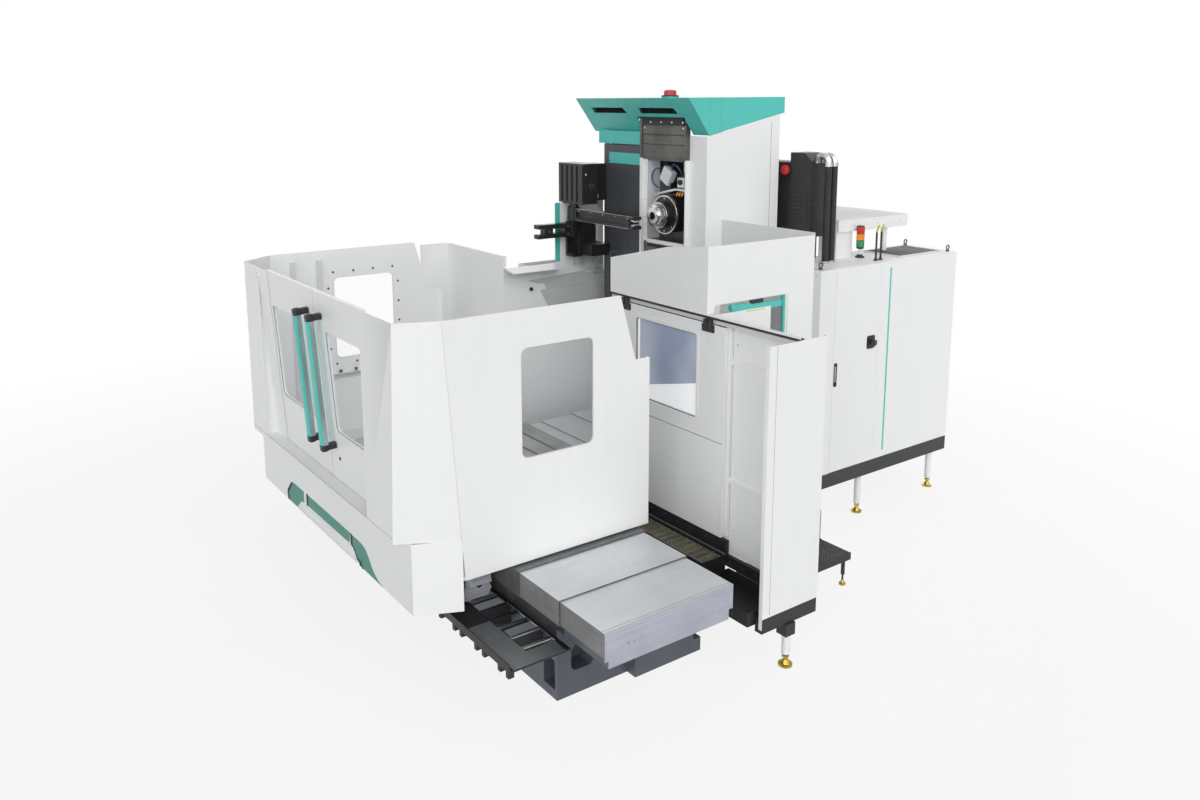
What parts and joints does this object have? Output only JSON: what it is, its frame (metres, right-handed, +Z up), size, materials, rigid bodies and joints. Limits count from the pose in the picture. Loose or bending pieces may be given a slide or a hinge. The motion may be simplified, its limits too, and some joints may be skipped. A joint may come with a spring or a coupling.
{
  "type": "horizontal boring mill",
  "caption": "Horizontal boring mill: travelling rotary table in a walled enclosure, column with vertically moving headstock and boring bar, guards, tool changer and control cabinets.",
  "frame": {"origin": "on the floor below the centre of the rotary table, under the spindle axis", "axes": "+X along the table's travel towards the operator's right, +Y from the operator's doors to the column, +Z up; the spindle points along -Y"},
  "size_m": [4.6492, 5.4616, 3.494],
  "materials": {
    "grey_casting": "painted slate grey casting",
    "white_sheet": "satin white painted sheet",
    "teal_sheet": "satin teal painted sheet",
    "black_sheet": "matt black painted steel",
    "ground_steel": "ground and brushed steel",
    "dark_steel": "dark shutter steel",
    "table_iron": "ground table iron",
    "black_plastic": "black plastic",
    "lamp_plastic": "coloured lamp lenses"
  },
  "bodies": {
    "machine": {"x_bed": "grey_casting", "z_bed": "grey_casting", "bed_rails": "ground_steel", "feed_screws": "ground_steel", "fixed_covers": "ground_steel", "levelling_legs": "white_sheet", "left_guard": "white_sheet", "right_guard": "white_sheet", "guard_frame": "black_sheet", "upper_box": "white_sheet", "side_console": "teal_sheet", "chip_conveyor": "black_sheet", "chip_belt": "dark_steel", "cable_tray": "black_sheet", "cable_chain": "black_plastic", "cabinet": "white_sheet", "hood_unit": "white_sheet", "rear_unit": "black_sheet", "signal_tower": "lamp_plastic", "step_platform": "black_sheet", "tool_magazine": "white_sheet"},
    "saddle": {"saddle": "grey_casting", "rotary_base": "grey_casting", "x_cover_near": "ground_steel", "tub_pan": "white_sheet", "tub_left_wall": "white_sheet", "tub_right_wall": "white_sheet", "tub_front": "white_sheet"},
    "table": {"table": "table_iron"},
    "left_door": {"left_tub_door": "white_sheet", "left_handle": "teal_sheet"},
    "right_door": {"right_tub_door": "white_sheet", "right_handle": "teal_sheet"},
    "x_cover_mid_right": {"x_cover_mid_right": "ground_steel"},
    "x_cover_mid_left": {"x_cover_mid_left": "ground_steel"},
    "column": {"column_base": "grey_casting", "column": "grey_casting", "column_sheet": "white_sheet", "column_cap": "teal_sheet", "shutter_guides": "dark_steel", "column_guides": "ground_steel", "z_cover_near": "ground_steel", "changer_body": "black_sheet"},
    "changer_arm": {"changer_arm": "black_sheet"},
    "headstock": {"headstock": "grey_casting", "spindle_motor": "black_sheet", "spindle_housing": "grey_casting", "headstock_shutter": "dark_steel"},
    "milling_sleeve": {"milling_sleeve": "ground_steel"},
    "boring_bar": {"boring_bar": "ground_steel"},
    "upper_shutter_1": {"upper_shutter_1": "dark_steel"},
    "upper_shutter_2": {"upper_shutter_2": "dark_steel"},
    "lower_shutter_1": {"lower_shutter_1": "dark_steel"},
    "lower_shutter_2": {"lower_shutter_2": "dark_steel"},
    "z_cover_front_1": {"z_cover_front_1": "ground_steel"},
    "z_cover_front_2": {"z_cover_front_2": "ground_steel"},
    "z_cover_rear_1": {"z_cover_rear_1": "ground_steel"},
    "guard_door": {"guard_door": "white_sheet"},
    "left_cabinet_door": {"left_cabinet_door": "white_sheet"},
    "right_cabinet_door": {"right_cabinet_door": "white_sheet"}
  },
  "joints": [
    {"name": "table_travel", "type": "slide", "parent": "machine", "child": "saddle", "axis": [1, 0, 0], "range_m": [-0.75, 0.75]},
    {"name": "table_turn", "type": "hinge", "parent": "saddle", "child": "table", "pos_m": [0, 0, 0.945], "axis": [0, 0, 1], "continuous": true},
    {"name": "left_door_slide", "type": "slide", "parent": "saddle", "child": "left_door", "axis": [-1, 0, 0], "range_m": [0, 0.44]},
    {"name": "right_door_slide", "type": "slide", "parent": "saddle", "child": "right_door", "axis": [1, 0, 0], "range_m": [0, 0.37]},
    {"name": "right_cover_slide", "type": "slide", "parent": "machine", "child": "x_cover_mid_right", "axis": [1, 0, 0], "range_m": [-0.376, 0.376]},
    {"name": "left_cover_slide", "type": "slide", "parent": "machine", "child": "x_cover_mid_left", "axis": [1, 0, 0], "range_m": [-0.376, 0.376]},
    {"name": "column_travel", "type": "slide", "parent": "machine", "child": "column", "axis": [0, -1, 0], "range_m": [0, 0.9]},
    {"name": "changer_turn", "type": "hinge", "parent": "column", "child": "changer_arm", "pos_m": [-0.985, 1.645, 2.445], "axis": [0, 0, 1], "range_deg": [-90, 0]},
    {"name": "headstock_travel", "type": "slide", "parent": "column", "child": "headstock", "axis": [0, 0, -1], "range_m": [0, 1.1]},
    {"name": "sleeve_spin", "type": "hinge", "parent": "headstock", "child": "milling_sleeve", "pos_m": [0, 1.724, 2.51], "axis": [0, -1, 0], "continuous": true},
    {"name": "bar_feed", "type": "slide", "parent": "milling_sleeve", "child": "boring_bar", "axis": [0, -1, 0], "range_m": [0, 0.5]},
    {"name": "upper_shutter_slide_1", "type": "slide", "parent": "column", "child": "upper_shutter_1", "axis": [0, 0, -1], "range_m": [0, 0.368]},
    {"name": "upper_shutter_slide_2", "type": "slide", "parent": "column", "child": "upper_shutter_2", "axis": [0, 0, -1], "range_m": [0, 0.735]},
    {"name": "lower_shutter_slide_1", "type": "slide", "parent": "column", "child": "lower_shutter_1", "axis": [0, 0, -1], "range_m": [0, 0.368]},
    {"name": "lower_shutter_slide_2", "type": "slide", "parent": "column", "child": "lower_shutter_2", "axis": [0, 0, -1], "range_m": [0, 0.735]},
    {"name": "front_cover_slide_1", "type": "slide", "parent": "machine", "child": "z_cover_front_1", "axis": [0, -1, 0], "range_m": [0, 0.301]},
    {"name": "front_cover_slide_2", "type": "slide", "parent": "machine", "child": "z_cover_front_2", "axis": [0, -1, 0], "range_m": [0, 0.601]},
    {"name": "rear_cover_slide", "type": "slide", "parent": "machine", "child": "z_cover_rear_1", "axis": [0, -1, 0], "range_m": [0, 0.451]},
    {"name": "guard_door_slide", "type": "slide", "parent": "machine", "child": "guard_door", "axis": [1, 0, 0], "range_m": [0, 0.62]},
    {"name": "left_cabinet_hinge", "type": "hinge", "parent": "machine", "child": "left_cabinet_door", "pos_m": [1.1, 3.217, 1.3], "axis": [0, 0, 1], "range_deg": [0, 110]},
    {"name": "right_cabinet_hinge", "type": "hinge", "parent": "machine", "child": "right_cabinet_door", "pos_m": [1.1, 4.237, 1.3], "axis": [0, 0, 1], "range_deg": [0, 110]}
  ],
  "couplings": [
    {"joint": "right_cover_slide", "follows": "table_travel", "ratio": 0.5},
    {"joint": "left_cover_slide", "follows": "table_travel", "ratio": 0.5},
    {"joint": "upper_shutter_slide_1", "follows": "headstock_travel", "ratio": 0.33333},
    {"joint": "upper_shutter_slide_2", "follows": "headstock_travel", "ratio": 0.66667},
    {"joint": "lower_shutter_slide_1", "follows": "headstock_travel", "ratio": 0.33333},
    {"joint": "lower_shutter_slide_2", "follows": "headstock_travel", "ratio": 0.66667},
    {"joint": "front_cover_slide_1", "follows": "column_travel", "ratio": 0.33333},
    {"joint": "front_cover_slide_2", "follows": "column_travel", "ratio": 0.66667},
    {"joint": "rear_cover_slide", "follows": "column_travel", "ratio": 0.5}
  ]
}
